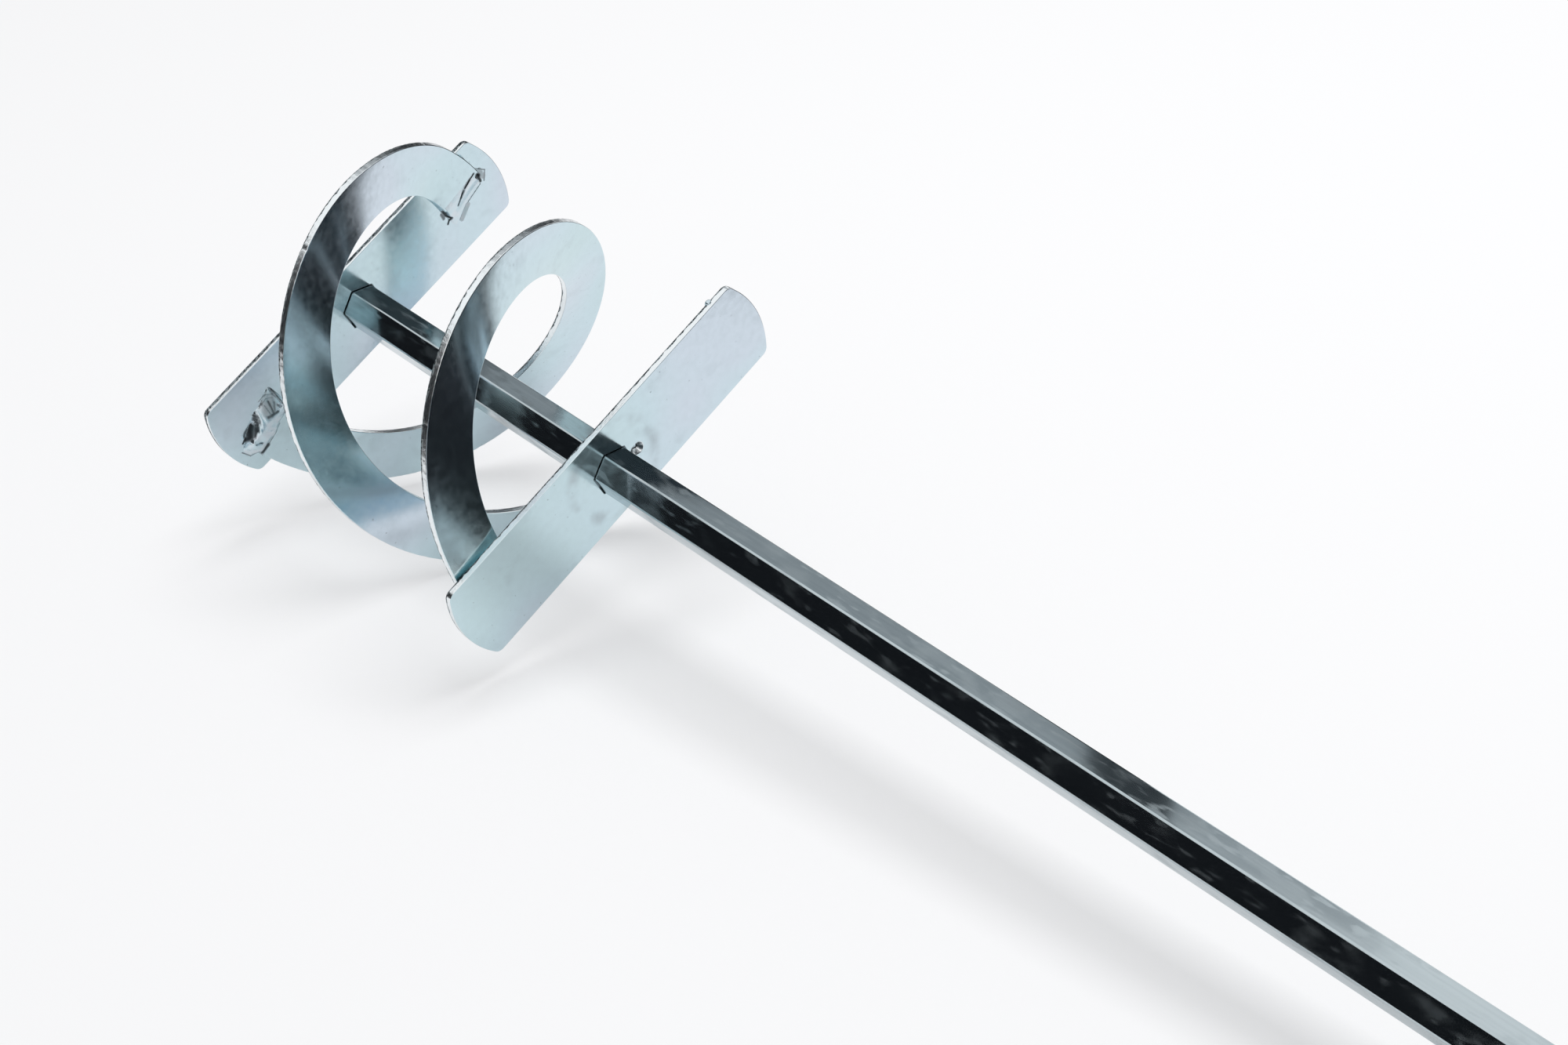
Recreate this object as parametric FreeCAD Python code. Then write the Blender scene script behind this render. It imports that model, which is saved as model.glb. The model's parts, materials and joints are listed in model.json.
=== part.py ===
import FreeCAD, Part
import math
import os

# Driving dimensions, in millimetres and degrees.
rod_across_flats = 12.0
rod_length = 600.0
rod_tail = 4.0
rod_end_chamfer = 1.2
head_length = 119.0
head_diameter = 120.0
bar_width = 30.0
bar_thickness = 2.0
bar_tip_radius = 32.0
bar_corner_radius = 2.5
rod_hole_clearance = 0.3
flight_tip_setback = 6.5
flight_width = 16.0
flight_thickness = 2.5
flight_end_angle = 3.0
flight_start_bend = 22.0
flight_a_late_bend = 320.0
flight_a_late_rise = 17.7
flight_a_end_bend = 351.0
flight_b_end_bend = 346.5
flight_bend_width = 12.0
resting_flat_angle = 240.0
rod_weld_leg = 3.5
rod_weld_toe = 0.4
flight_weld_leg = 2.4

# How finely a flight's curve and its point of rest are worked out.
full_turn = 360.0
flight_step = 3.0
rim_step = 0.1
settling_rounds = 40

# The head is drawn about the rod's axis: Z runs towards the drive end, X runs along both crossbars,
# and the end crossbar's inner face lies at height zero.
ORIGIN = FreeCAD.Vector(0, 0, 0)
ALONG_ROD = FreeCAD.Vector(0, 0, 1)
ALONG_BARS = FreeCAD.Vector(1, 0, 0)

# Sizes that follow from the driving dimensions.
bar_half_length = head_diameter / 2
bar_half_width = bar_width / 2
inner_span = head_length - 2 * bar_thickness
flight_rise = inner_span - flight_thickness
flight_outer_radius = bar_half_length - flight_tip_setback
flight_inner_radius = flight_outer_radius - flight_width
rod_corner_radius = rod_across_flats / math.sqrt(3)
tip_arc_centre = bar_half_length - bar_tip_radius
rod_start = -bar_thickness - rod_tail
rod_drive_end = rod_start + rod_length

# Bends in each flight's rise before they are rounded off, as an angle of turn and a height.
flight_a_bends = [(flight_start_bend, 0.0),
                  (flight_a_late_bend, flight_rise - flight_a_late_rise),
                  (flight_a_end_bend, flight_rise)]
flight_b_bends = [(flight_start_bend, 0.0), (flight_b_end_bend, flight_rise)]


def polar(radius, angle, height):
    """Point at a radius and an angle in degrees about the rod."""
    turn = math.radians(angle)
    return FreeCAD.Vector(radius * math.cos(turn), radius * math.sin(turn), height)


def hexagonal_prism(across_flats, bottom, height):
    """Hexagonal prism about the rod's axis, with two corners on the Y axis."""
    corner_radius = across_flats / math.sqrt(3)
    corners = [polar(corner_radius, 30 + 60 * side, bottom) for side in range(7)]
    return Part.Face(Part.makePolygon(corners)).extrude(ALONG_ROD * height)


def chamfer_envelope():
    """Round bar with a 45 degree chamfer at both ends, which trims the corners of the rod."""
    end_radius = rod_corner_radius - rod_end_chamfer
    body = Part.makeCylinder(rod_corner_radius, rod_length - 2 * rod_end_chamfer,
                             FreeCAD.Vector(0, 0, rod_start + rod_end_chamfer))
    tail = Part.makeCone(end_radius, rod_corner_radius, rod_end_chamfer, FreeCAD.Vector(0, 0, rod_start))
    drive = Part.makeCone(rod_corner_radius, end_radius, rod_end_chamfer,
                          FreeCAD.Vector(0, 0, rod_drive_end - rod_end_chamfer))
    return body.fuse([tail, drive]).removeSplitter()


def hex_rod():
    """Solid hexagonal rod through the whole head, with both ends chamfered."""
    return hexagonal_prism(rod_across_flats, rod_start, rod_length).common(chamfer_envelope())


def bar_plate():
    """Flat bar with arched tips and rounded corners, its lower face at height zero."""
    strip = Part.makeBox(head_diameter, bar_width, bar_thickness,
                         FreeCAD.Vector(-bar_half_length, -bar_half_width, 0))
    middle = Part.makeBox(2 * tip_arc_centre, bar_width, bar_thickness,
                          FreeCAD.Vector(-tip_arc_centre, -bar_half_width, 0))
    tips = [Part.makeCylinder(bar_tip_radius, bar_thickness, FreeCAD.Vector(side * tip_arc_centre, 0, 0))
            for side in (-1, 1)]
    plate = strip.common(middle.fuse(tips)).removeSplitter()
    corners = [edge for edge in plate.Edges if abs(edge.tangentAt(edge.FirstParameter).z) > 0.5]
    return plate.makeFillet(bar_corner_radius, corners)


def crossbar(bottom):
    """Flat crossbar with its hexagonal hole, its lower face at a height."""
    plate = bar_plate()
    plate.translate(ALONG_ROD * bottom)
    hole = hexagonal_prism(rod_across_flats + 2 * rod_hole_clearance, bottom, bar_thickness)
    return plate.cut(hole)


def rounded_ramp(past):
    """Angle past a bend, growing smoothly from nothing over the bend's width."""
    half = flight_bend_width / 2
    if past <= -half:
        return 0.0
    if past >= half:
        return past
    return (past + half) ** 2 / (4 * half)


def rise_at(bends, angle):
    """Height of a flight's lower face after an angle of turn: steady rises with every bend rounded off."""
    runs = [(high - low) / (last - first) for (first, low), (last, high) in zip(bends, bends[1:])]
    slopes = [0.0, *runs, 0.0]
    return sum((after - before) * rounded_ramp(angle - corner)
               for (corner, _), before, after in zip(bends, slopes, slopes[1:]))


def flight_edge(bends, radius, lift):
    """Long edge of a flight: a smooth curve at a radius, lifted above the flight's lower face."""
    span = full_turn - 2 * flight_end_angle
    steps = round(span / flight_step)
    angles = [flight_end_angle + span * step / steps for step in range(steps + 1)]
    curve = Part.BSplineCurve()
    points = [polar(radius, angle, rise_at(bends, angle) + lift) for angle in angles]
    curve.interpolate(Points=points, Parameters=angles)
    return curve.toShape()


def flight(bends):
    """Flat strip drawn out into one turn with its own bends, whose ends lap flat on the crossbars' inner faces."""
    outer_low = flight_edge(bends, flight_outer_radius, 0)
    outer_high = flight_edge(bends, flight_outer_radius, flight_thickness)
    inner_low = flight_edge(bends, flight_inner_radius, 0)
    inner_high = flight_edge(bends, flight_inner_radius, flight_thickness)
    pairs = ((inner_low, outer_low), (inner_high, outer_high), (inner_low, inner_high), (outer_low, outer_high))
    faces = [Part.makeRuledSurface(first, second) for first, second in pairs]
    for angle, height in ((flight_end_angle, 0.0), (full_turn - flight_end_angle, flight_rise)):
        corners = [polar(flight_inner_radius, angle, height),
                   polar(flight_outer_radius, angle, height),
                   polar(flight_outer_radius, angle, height + flight_thickness),
                   polar(flight_inner_radius, angle, height + flight_thickness),
                   polar(flight_inner_radius, angle, height)]
        faces.append(Part.Face(Part.makePolygon(corners)))
    shell = Part.Shell(faces)
    shell.sewShape()
    solid = Part.Solid(shell)
    if solid.Volume < 0:
        solid.reverse()
    return solid


def flight_weld():
    """Quarter round bead along a flight's end, on the end crossbar, with its ends rounded off."""
    inner = FreeCAD.Vector(flight_inner_radius + flight_weld_leg, 0, 0)
    outer = FreeCAD.Vector(flight_outer_radius - flight_weld_leg, 0, 0)
    bead = Part.makeCylinder(flight_weld_leg, outer.x - inner.x, inner, ALONG_BARS)
    bead = bead.fuse([Part.makeSphere(flight_weld_leg, inner), Part.makeSphere(flight_weld_leg, outer)])
    corner = FreeCAD.Vector(flight_inner_radius - flight_weld_leg, -2 * flight_weld_leg, 0)
    quarter = Part.makeBox(flight_outer_radius, 2 * flight_weld_leg, 2 * flight_weld_leg, corner)
    bead = bead.common(quarter).removeSplitter()
    bead.rotate(ORIGIN, ALONG_ROD, flight_end_angle)
    return bead


def rod_weld(face_height):
    """Sloping bead round the rod, from a crossbar's lower face down the rod."""
    base = FreeCAD.Vector(0, 0, face_height - rod_weld_leg)
    cone = Part.makeCone(rod_corner_radius + rod_weld_toe, rod_corner_radius + rod_weld_leg, rod_weld_leg, base)
    return cone.cut(hexagonal_prism(rod_across_flats, base.z, rod_weld_leg))


def half_turn(shape):
    """Copy of a piece, half a turn round the rod."""
    copy = shape.copy()
    copy.rotate(ORIGIN, ALONG_ROD, 180)
    return copy


def turned_over(shape):
    """Copy of a piece from the end crossbar, turned over about the middle of the head to the front crossbar."""
    copy = shape.copy()
    copy.rotate(FreeCAD.Vector(0, 0, inner_span / 2), ALONG_BARS, 180)
    return copy


def floor_normal():
    """Upward normal of the floor under a paddle at rest.

    It lies on one flat of the rod, where the flat ends in the drive end's chamfer, and on the rim of flight a.
    """
    flat_radius = rod_across_flats / 2
    flat_end = rod_drive_end - rod_end_chamfer + rod_corner_radius - flat_radius
    heel = polar(flat_radius, resting_flat_angle, flat_end)
    along_flat = polar(1, resting_flat_angle + 90, 0)
    rim_angles = [step * rim_step for step in range(round(full_turn / rim_step))]
    rim = [polar(flight_outer_radius, angle, rise_at(flight_a_bends, angle) + flight_thickness)
           for angle in rim_angles]
    up = polar(-1, resting_flat_angle, 0)
    for _ in range(settling_rounds):
        touch = min(rim, key=lambda point: point.dot(up))
        up = along_flat.cross(touch - heel)
        up.normalize()
    return up


def resting_placement():
    """Placement that lays the paddle on the floor, with its drive end towards +X."""
    up = floor_normal()
    forward = ALONG_ROD - up * ALONG_ROD.dot(up)
    forward.normalize()
    side = up.cross(forward)
    matrix = FreeCAD.Matrix(forward.x, forward.y, forward.z, 0,
                            side.x, side.y, side.z, 0,
                            up.x, up.y, up.z, 0,
                            0, 0, 0, 1)
    return FreeCAD.Placement(matrix)


def paddle():
    """Every piece of the paddle by name, drawn about the rod's axis."""
    bead = flight_weld()
    return {
        "hex_rod": hex_rod(),
        "front_crossbar": crossbar(inner_span),
        "end_crossbar": crossbar(-bar_thickness),
        "flight_a": flight(flight_a_bends),
        "flight_b": half_turn(flight(flight_b_bends)),
        "front_rod_weld": rod_weld(inner_span),
        "end_rod_weld": rod_weld(-bar_thickness),
        "flight_a_end_weld": bead,
        "flight_b_end_weld": half_turn(bead),
        "flight_a_front_weld": turned_over(bead),
        "flight_b_front_weld": half_turn(turned_over(bead)),
    }


def laid_down(pieces):
    """Every piece in its resting place, with the middle of the base of them all at the origin."""
    resting = resting_placement()
    placed = {}
    bounds = FreeCAD.BoundBox()
    for name, shape in pieces.items():
        placed[name] = shape.transformed(resting.toMatrix(), copy=True)
        bounds.add(placed[name].optimalBoundingBox(False, False))
    shift = FreeCAD.Vector(-bounds.Center.x, -bounds.Center.y, -bounds.ZMin)
    for shape in placed.values():
        shape.translate(shift)
    return placed


os.makedirs("parts", exist_ok=True)
for node, solid in laid_down(paddle()).items():
    solid.exportStep(f"parts/{node}.step")
    print(node, "valid", solid.isValid(), "solids", len(solid.Solids), "volume", round(solid.Volume, 1))
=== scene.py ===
"""Looks of a zinc plated mortar mixing paddle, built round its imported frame.

Each piece is drawn in millimetres about the rod's axis: Z runs towards the drive end, X runs along both
crossbars, and height zero is the end crossbar's inner face. The finished mesh is then laid down, in metres,
where the paddle rests in the frame.
"""

import json
import logging
import math
from collections.abc import Callable
from dataclasses import dataclass, field
from enum import Enum

import bmesh
import bpy
from mathutils import Matrix, Vector, noise


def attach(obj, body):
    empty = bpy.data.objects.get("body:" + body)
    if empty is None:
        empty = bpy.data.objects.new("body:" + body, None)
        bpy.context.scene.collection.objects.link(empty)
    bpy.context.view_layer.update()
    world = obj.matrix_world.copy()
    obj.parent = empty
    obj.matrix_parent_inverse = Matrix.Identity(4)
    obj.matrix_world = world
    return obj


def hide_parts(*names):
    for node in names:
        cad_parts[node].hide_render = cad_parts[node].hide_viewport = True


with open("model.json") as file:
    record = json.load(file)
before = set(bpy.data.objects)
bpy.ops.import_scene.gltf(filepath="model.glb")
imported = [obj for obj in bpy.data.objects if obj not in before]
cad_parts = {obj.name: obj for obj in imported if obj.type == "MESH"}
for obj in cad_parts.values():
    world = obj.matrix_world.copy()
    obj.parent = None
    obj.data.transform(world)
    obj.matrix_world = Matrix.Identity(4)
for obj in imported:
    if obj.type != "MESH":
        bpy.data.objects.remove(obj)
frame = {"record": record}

log = logging.getLogger("paddle")

MM = 0.001
BODY = "root"

# Attribute with a point's place along, across and through the steel in metres, or on a weld, as its Z, the
# share of dark paint for painted shade in its cracks, notches and undercuts and for a few stains.
SURFACE_MAP = "strip"

# Faces that meet at less than this are smoothed into each other.
SMOOTH_ANGLE = math.radians(40)

# Points nearer than this, in millimetres, are merged.
MERGE = 0.001

# Tells by an element's middle and direction whether it is meant.
Test = Callable[[Vector, Vector], bool]


class Element(Enum):
    """What an edit-mode selection picks."""

    VERT = "VERT"
    EDGE = "EDGE"
    FACE = "FACE"


class Slot(Enum):
    """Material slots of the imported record."""

    ROD = "plated_rod"
    STRIP = "plated_strip"
    FLIGHT = "plated_flight"
    WELD = "plated_weld"


class Bead(Enum):
    """How a flight's end was welded."""

    POOL = "smooth pool, run out flat over the bar"
    STRINGER = "lumpy stringer with crescent ripples"


# ---------------------------------------------------------------------------------------------- small tools


def linear(colour: str) -> tuple[float, float, float, float]:
    """Turns an sRGB hex colour to linear light.

    Args:
        colour: Colour as "#RRGGBB".

    Returns:
        Linear red, green, blue and an alpha of one.
    """
    parts = [int(colour[start:start + 2], 16) / 255 for start in (1, 3, 5)]
    red, green, blue = (part / 12.92 if part <= 0.04045 else ((part + 0.055) / 1.055) ** 2.4
                        for part in parts)
    return red, green, blue, 1.0


def per_metre(size: float) -> float:
    """Scale of a pattern whose features are a size in millimetres, on coordinates in metres."""
    return 1 / (size * MM)


def add_node(tree: bpy.types.NodeTree, kind: str, settings: dict | None = None,
             inputs: dict | None = None) -> bpy.types.Node:
    """Adds a shader node.

    Args:
        tree: Node tree that gets it.
        kind: Node type without its "ShaderNode" prefix.
        settings: Properties of the node, by name.
        inputs: Values of its inputs, by name or number; a socket is linked.

    Returns:
        The new node.
    """
    node = tree.nodes.new(f"ShaderNode{kind}")
    for name, value in (settings or {}).items():
        setattr(node, name, value)
    for name, value in (inputs or {}).items():
        if isinstance(value, bpy.types.NodeSocket):
            tree.links.new(value, node.inputs[name])
        else:
            node.inputs[name].default_value = value
    return node


def set_ramp(node: bpy.types.Node, stops: list[tuple[float, str]]) -> None:
    """Sets a colour ramp's stops.

    Args:
        node: Colour ramp node.
        stops: Each stop's place, from 0 to 1, and its sRGB hex colour.
    """
    elements = node.color_ramp.elements
    while len(elements) < len(stops):
        elements.new(0.5)
    for element, (place, colour) in zip(elements, stops):
        element.position = place
        element.color = linear(colour)


def start_object(kind: str, scale: tuple[float, float, float] = (1, 1, 1),
                 **settings: object) -> bpy.types.Object:
    """Adds a primitive with nothing else selected and puts its place into its mesh.

    Args:
        kind: Name of the primitive's operator, such as "cube".
        scale: Scale along its own axes.
        settings: Arguments of the operator.

    Returns:
        The new object.
    """
    bpy.ops.object.select_all(action="DESELECT")
    getattr(bpy.ops.mesh, f"primitive_{kind}_add")(**settings)
    bpy.context.object.scale = scale
    bpy.ops.object.transform_apply(location=True, rotation=True, scale=True)
    return bpy.context.object


def activate(piece: bpy.types.Object) -> None:
    """Makes a piece the only selected and the active object.

    Args:
        piece: Object to activate.
    """
    bpy.ops.object.select_all(action="DESELECT")
    piece.select_set(True)
    bpy.context.view_layer.objects.active = piece


def edit(piece: bpy.types.Object, element: Element, test: Test | None, *steps: Callable[[], object]) -> None:
    """Runs edit-mode operators on the parts of a mesh that pass a test.

    Args:
        piece: Object to edit.
        element: What is selected.
        test: Takes an element's middle and its direction, which is a face's or vertex's normal or an edge's
            own direction; without one everything is selected.
        steps: Operators, each wrapped to take no arguments.
    """
    activate(piece)
    bpy.ops.object.mode_set(mode="EDIT")
    bpy.ops.mesh.select_mode(type=element.value)
    bpy.ops.mesh.select_all(action="DESELECT" if test else "SELECT")
    if test:
        mesh = bmesh.from_edit_mesh(piece.data)
        mesh.normal_update()
        if element is Element.FACE:
            for face in mesh.faces:
                face.select_set(test(face.calc_center_median(), face.normal))
        elif element is Element.EDGE:
            for edge in mesh.edges:
                start, end = (vert.co for vert in edge.verts)
                edge.select_set(test((start + end) / 2, (end - start).normalized()))
        else:
            for vert in mesh.verts:
                vert.select_set(test(vert.co, vert.normal))
        bmesh.update_edit_mesh(piece.data)
    for step in steps:
        step()
    bpy.ops.object.mode_set(mode="OBJECT")


def apply_modifier(piece: bpy.types.Object, kind: str, **settings: object) -> None:
    """Adds a modifier and applies it.

    Args:
        piece: Object that gets it.
        kind: Type of the modifier.
        settings: Its properties, by name.
    """
    modifier = piece.modifiers.new(kind, kind)
    for name, value in settings.items():
        setattr(modifier, name, value)
    activate(piece)
    bpy.ops.object.modifier_apply(modifier=modifier.name)


def combine(piece: bpy.types.Object, tool: bpy.types.Object, operation: str) -> None:
    """Applies an exact boolean with a tool, then removes the tool."""
    apply_modifier(piece, "BOOLEAN", operation=operation, solver="EXACT", object=tool)
    bpy.data.objects.remove(tool)


def polar(radius: float, angle: float, height: float) -> Vector:
    """Point at a radius, an angle in degrees and a height about the rod."""
    turn = math.radians(angle)
    return Vector((radius * math.cos(turn), radius * math.sin(turn), height))


def ease(value: float) -> float:
    """Smooth step from 0 to 1 for a value from 0 to 1."""
    value = min(max(value, 0.0), 1.0)
    return value * value * (3 - 2 * value)


def resting_place(rod_end: float, flat_angle: float) -> Matrix:
    """Works out where the head's own axes lie in the frame, from the mount on the drive end's face.

    The rod rests on one flat, so the direction of that flat in the head's axes points down in the frame.

    Args:
        rod_end: Height of the drive end's face in the head's axes, in millimetres.
        flat_angle: Direction of the flat that it rests on, in degrees about the rod.

    Returns:
        Matrix that takes the head's millimetres to the frame's metres.
    """
    mount = next(each for each in frame["record"]["mounts"] if each["name"] == "drive_end_face")
    along = Vector(mount["axis"]).normalized()
    down = along.cross(Vector((0, 1, 0))).normalized()
    if down.z > 0:
        down = -down
    side = along.cross(down)
    turn = math.radians(flat_angle)
    bars = down * math.cos(turn) - side * math.sin(turn)
    across = along.cross(bars)
    origin = Vector(mount["pos_m"]) - along * rod_end * MM
    axes = Matrix((bars, across, along)).transposed().to_4x4()
    return Matrix.Translation(origin) @ axes @ Matrix.Scale(MM, 4)


# ------------------------------------------------------------------------------------------------- finishes


@dataclass(frozen=True)
class Finish:
    """A metal surface that reads the head's own coordinates, in metres about the rod."""

    name: str
    place: Matrix

    def tree(self) -> tuple[bpy.types.Material, bpy.types.NodeTree, bpy.types.NodeSocket]:
        """Starts the material.

        Returns:
            The material, its empty node tree, and coordinates in metres along the head's own axes.
        """
        material = bpy.data.materials.new(self.name)
        material.use_nodes = True
        tree = material.node_tree
        tree.nodes.clear()
        back = (self.place @ Matrix.Scale(1 / MM, 4)).inverted()
        where = add_node(tree, "TexCoord").outputs["Object"]
        drawn = add_node(tree, "Mapping", inputs={"Vector": where, "Location": back.to_translation(),
                                                  "Rotation": back.to_euler()})
        return material, tree, drawn.outputs["Vector"]

    def pattern(self, tree: bpy.types.NodeTree, where: bpy.types.NodeSocket, size: float, detail: float,
                low: float, high: float, drawn: float = 1.0) -> bpy.types.NodeSocket:
        """Cloudy pattern from 0 to 1.

        Args:
            tree: Node tree that gets it.
            where: Coordinates in metres.
            size: Size of a patch in millimetres.
            detail: How many finer layers it has.
            low: Noise value that becomes 0.
            high: Noise value that becomes 1.
            drawn: How many times longer a patch is along the rod.

        Returns:
            The socket of the pattern.
        """
        if drawn != 1:
            where = add_node(tree, "VectorMath", {"operation": "MULTIPLY"},
                             {0: where, 1: (1.0, 1.0, 1 / drawn)}).outputs["Vector"]
        cloud = add_node(tree, "TexNoise",
                         inputs={"Vector": where, "Scale": per_metre(size), "Detail": detail})
        spread = add_node(tree, "MapRange", inputs={"Value": cloud.outputs["Fac"], "From Min": low,
                                                    "From Max": high})
        return spread.outputs["Result"]

    def tinted(self, tree: bpy.types.NodeTree, colour: bpy.types.NodeSocket | str,
               amount: bpy.types.NodeSocket, tint: bpy.types.NodeSocket | str,
               share: float = 1.0) -> bpy.types.NodeSocket:
        """Lays a tint over a colour.

        Args:
            tree: Node tree that gets it.
            colour: Colour underneath, as a socket or an sRGB hex colour.
            amount: Pattern from 0 to 1 that says where the tint lies.
            tint: The tint, as a socket or an sRGB hex colour.
            share: How much the tint hides where the pattern is 1.

        Returns:
            The socket of the new colour.
        """
        if share != 1:
            amount = add_node(tree, "MapRange", inputs={"Value": amount, "To Min": 0.0,
                                                        "To Max": share}).outputs["Result"]
        under, over = (linear(side) if isinstance(side, str) else side for side in (colour, tint))
        mix = add_node(tree, "Mix", {"data_type": "RGBA", "blend_type": "MIX"},
                       {0: amount, 6: under, 7: over})
        return mix.outputs[2]

    def dents(self, tree: bpy.types.NodeTree, layers: list[tuple[bpy.types.NodeSocket, float]]
              ) -> bpy.types.NodeSocket:
        """Chains bumps.

        Args:
            tree: Node tree that gets them.
            layers: For each bump, a pattern from 0 to 1 and its height in millimetres.

        Returns:
            The socket of the bumped normal.
        """
        normal = None
        for height, depth in layers:
            inputs = {"Height": height, "Distance": depth * MM, "Strength": 1.0}
            if normal:
                inputs["Normal"] = normal
            normal = add_node(tree, "Bump", inputs=inputs).outputs["Normal"]
        return normal

    def close(self, tree: bpy.types.NodeTree, colour: bpy.types.NodeSocket, worn: bpy.types.NodeSocket,
              rough: tuple[float, float], normal: bpy.types.NodeSocket) -> None:
        """Ends the tree in a metal shader with the default IOR.

        Args:
            tree: Node tree that it ends.
            colour: Colour of the metal.
            worn: Pattern from 0 to 1 that says where the metal is dull.
            rough: Roughness where that pattern is 0, and where it is 1.
            normal: Bumped normal.
        """
        dull = add_node(tree, "MapRange", inputs={"Value": worn, "To Min": rough[0], "To Max": rough[1]})
        shader = add_node(tree, "BsdfPrincipled", inputs={"Base Color": colour, "Metallic": 1.0,
                                                          "Roughness": dull.outputs["Result"],
                                                          "Normal": normal})
        add_node(tree, "OutputMaterial", inputs={"Surface": shader.outputs["BSDF"]})


@dataclass(frozen=True)
class PlatedStrip(Finish):
    """Bright zinc plating with blue passivation on cold rolled strip.

    The film gives a cool blue-grey mirror that drifts to green and lilac where it is thicker or thinner,
    with fine mottling from the strip's rolled grain and a few dark specks and dull rinse stains. The grain
    is drawn coarser than the real one, which is too fine to show. The ring is the radius of the heat mark
    round the rod, in millimetres, and none is drawn where it is zero.
    """

    ring: float = 0.0
    ring_width: float = 3.2
    film_patch: float = 45.0

    def material(self) -> bpy.types.Material:
        """Builds the material.

        Returns:
            The material.
        """
        material, tree, where = self.tree()
        film = add_node(tree, "TexNoise", inputs={"Vector": where, "Scale": per_metre(self.film_patch),
                                                  "Detail": 1.0})
        hue = add_node(tree, "ValToRGB", inputs={"Fac": film.outputs["Fac"]})
        set_ramp(hue, [(0.34, "#CADFE3"), (0.5, "#CDE0E7"), (0.66, "#D2DDE7")])
        grain = self.pattern(tree, where, size=2.2, detail=3.0, low=0.3, high=0.7)
        stains = self.pattern(tree, where, size=9.0, detail=3.0, low=0.58, high=0.74)
        specks = self.pattern(tree, where, size=0.9, detail=1.0, low=0.74, high=0.78)
        colour = self.tinted(tree, hue.outputs["Color"], grain, "#A9B8BC", share=0.10)
        colour = self.tinted(tree, colour, stains, "#8E9AA0", share=0.16)
        colour = self.tinted(tree, colour, specks, "#4E575B", share=0.5)
        if self.ring:
            colour = self.tinted(tree, colour, self.heat_ring(tree, where), "#9DA6AC")
        waves = self.pattern(tree, where, size=16.0, detail=1.0, low=0.2, high=0.8)
        peel = self.pattern(tree, where, size=1.6, detail=2.0, low=0.2, high=0.8)
        self.close(tree, colour, grain, rough=(0.13, 0.19),
                   normal=self.dents(tree, [(waves, 0.024), (peel, 0.0025)]))
        return material

    def heat_ring(self, tree: bpy.types.NodeTree, where: bpy.types.NodeSocket) -> bpy.types.NodeSocket:
        """Faint broken ring round the rod, where the welding heat on the far face dulled the steel.

        Args:
            tree: Node tree that gets it.
            where: Coordinates in metres.

        Returns:
            The socket of the ring, from 0 to 1.
        """
        across = add_node(tree, "VectorMath", {"operation": "MULTIPLY"}, {0: where, 1: (1.0, 1.0, 0.0)})
        radius = add_node(tree, "VectorMath", {"operation": "LENGTH"}, {0: across.outputs["Vector"]})
        off = add_node(tree, "Math", {"operation": "SUBTRACT"},
                       {0: radius.outputs["Value"], 1: self.ring * MM})
        away = add_node(tree, "Math", {"operation": "ABSOLUTE"}, {0: off.outputs[0]})
        band = add_node(tree, "MapRange", {"interpolation_type": "SMOOTHSTEP"},
                        {"Value": away.outputs[0], "From Min": 0.0, "From Max": self.ring_width * MM,
                         "To Min": 0.5, "To Max": 0.0})
        broken = self.pattern(tree, where, size=7.0, detail=2.0, low=0.4, high=0.65)
        return add_node(tree, "Math", {"operation": "MULTIPLY"},
                        {0: band.outputs["Result"], 1: broken}).outputs[0]


@dataclass(frozen=True)
class ShearedEdge(Finish):
    """Zinc plated edge that a shear or punch left: a bright burnished band over a rough dark break.

    The break's border wanders between two shares of the steel's thickness.
    """

    thickness: float = 2.0
    broken: tuple[float, float] = (0.12, 0.4)

    def material(self) -> bpy.types.Material:
        """Builds the material.

        Returns:
            The material.
        """
        material, tree, where = self.tree()
        strip = add_node(tree, "Attribute", {"attribute_name": SURFACE_MAP})
        parts = add_node(tree, "SeparateXYZ", inputs={0: strip.outputs["Vector"]})
        wander = self.pattern(tree, where, size=2.4, detail=3.0, low=0.3, high=0.7)
        low, high = (share * self.thickness * MM for share in self.broken)
        line = add_node(tree, "MapRange", inputs={"Value": wander, "To Min": low, "To Max": high})
        above = add_node(tree, "Math", {"operation": "SUBTRACT"},
                         {0: line.outputs["Result"], 1: parts.outputs["Z"]})
        broken = add_node(tree, "MapRange", inputs={"Value": above.outputs[0], "From Min": -0.03 * MM,
                                                    "From Max": 0.06 * MM}).outputs["Result"]
        pits = self.pattern(tree, where, size=0.55, detail=2.0, low=0.42, high=0.58)
        rubble = self.tinted(tree, "#2C3337", pits, "#A9B4B8")
        colour = self.tinted(tree, "#F1F6F8", broken, rubble)
        pitted = add_node(tree, "Math", {"operation": "MULTIPLY"}, {0: pits, 1: broken}).outputs[0]
        drag = self.pattern(tree, where, size=0.8, detail=2.0, low=0.3, high=0.7)
        self.close(tree, colour, broken, rough=(0.24, 0.5),
                   normal=self.dents(tree, [(drag, 0.02), (pitted, 0.09)]))
        return material


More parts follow.
